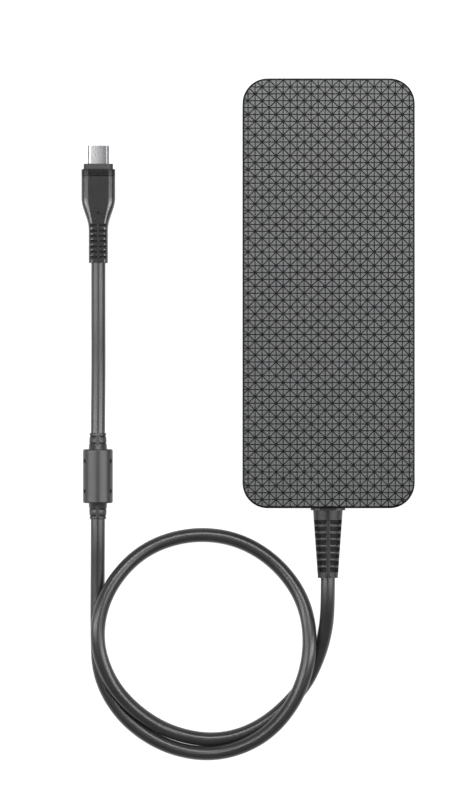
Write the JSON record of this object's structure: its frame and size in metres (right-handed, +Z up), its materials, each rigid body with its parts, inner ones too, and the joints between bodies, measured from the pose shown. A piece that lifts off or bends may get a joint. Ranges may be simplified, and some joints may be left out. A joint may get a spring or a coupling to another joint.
{
  "type": "laptop power adapter",
  "caption": "Slim rounded brick that turns mains into USB-C power, with a faceted top, a mains inlet at one end and a looped cord with a ferrite and plug at the other.",
  "frame": {"origin": "middle of the brick's underside, on the surface that it lies on", "axes": "+X across the brick, +Y along it towards the mains inlet, +Z up out of its faceted top"},
  "size_m": [0.1304, 0.2669, 0.025],
  "materials": {
    "case_plastic": "spark-textured polycarbonate blend",
    "label_film": "printed polyester film, left blank",
    "inlet_nylon": "glass-filled nylon",
    "nickel_plate": "nickel-plated brass",
    "brown_wire": "PVC",
    "blue_wire": "PVC",
    "earth_wire": "PVC, green and yellow",
    "red_wire": "PVC",
    "black_wire": "PVC",
    "white_wire": "PVC",
    "circuit_board": "solder-masked glass laminate",
    "zinc_screw": "zinc-plated steel",
    "shield_sheet": "rolled aluminium sheet",
    "copper_sheet": "rolled copper sheet",
    "polyester_film": "black polyester film",
    "gap_pad": "silicone gap pad",
    "fuse_plastic": "moulded",
    "blue_disc": "epoxy-dipped",
    "green_disc": "epoxy-dipped",
    "film_yellow": "potted box",
    "film_red": "potted box",
    "ferrite": "sintered ferrite",
    "winding_wire": "enamelled copper wire",
    "winding_tape": "yellow polyester tape",
    "phenolic": "moulded phenolic",
    "moulded_epoxy": "transfer-moulded epoxy",
    "heat_sink": "extruded aluminium",
    "capacitor_sleeve": "shrink sleeve",
    "capacitor_can": "drawn can",
    "soft_moulding": "matt thermoplastic elastomer",
    "cord_jacket": "extruded thermoplastic elastomer",
    "plug_gloss": "polished moulding",
    "plug_nose": "moulded",
    "plug_steel": "drawn stainless steel",
    "contact_gold": "gold plate",
    "plug_nylon": "liquid-crystal polymer",
    "indicator_clear": "smoked clear",
    "indicator_white": "white package"
  },
  "bodies": {
    "root": {"top_cover": "case_plastic", "bottom_cover": "case_plastic", "rating_label": "label_film", "inlet_housing": "inlet_nylon", "inlet_power_pins": "nickel_plate", "inlet_earth_pin": "nickel_plate", "line_lead": "brown_wire", "neutral_lead": "blue_wire", "earth_lead": "earth_wire", "positive_lead": "red_wire", "return_lead": "black_wire", "signal_lead": "white_wire", "main_board": "circuit_board", "controller_board": "circuit_board", "plug_board": "circuit_board", "board_screws": "zinc_screw", "lower_shield": "shield_sheet", "heat_spreader": "copper_sheet", "insulation_sheet": "polyester_film", "thermal_pads": "gap_pad", "fuse": "fuse_plastic", "varistor": "blue_disc", "safety_capacitors": "blue_disc", "thermistor": "green_disc", "x_capacitor": "film_yellow", "resonant_capacitor": "film_red", "choke_core": "ferrite", "inductor_core": "ferrite", "transformer_core": "ferrite", "resonant_inductor_core": "ferrite", "output_choke_core": "ferrite", "ferrite_core": "ferrite", "choke_windings": "winding_wire", "inductor_winding": "winding_wire", "resonant_inductor_winding": "winding_wire", "output_choke_winding": "winding_wire", "transformer_winding": "winding_tape", "transformer_former": "phenolic", "bridge_rectifier": "moulded_epoxy", "power_transistors": "moulded_epoxy", "optocouplers": "moulded_epoxy", "rectifier_transistors": "moulded_epoxy", "controller_chips": "moulded_epoxy", "primary_heat_sink": "heat_sink", "secondary_heat_sink": "heat_sink", "bulk_capacitors": "capacitor_sleeve", "output_capacitors": "capacitor_can", "strain_relief": "soft_moulding", "ferrite_moulding": "soft_moulding", "plug_moulding": "soft_moulding", "power_cord": "cord_jacket", "cord_tail": "cord_jacket", "plug_band": "plug_gloss", "plug_collar": "plug_nose", "plug_shell": "plug_steel", "plug_latch": "plug_steel", "plug_contacts": "contact_gold", "plug_insulator": "plug_nylon", "indicator_lens": "indicator_clear", "indicator_light": "indicator_white"}
  },
  "joints": []
}
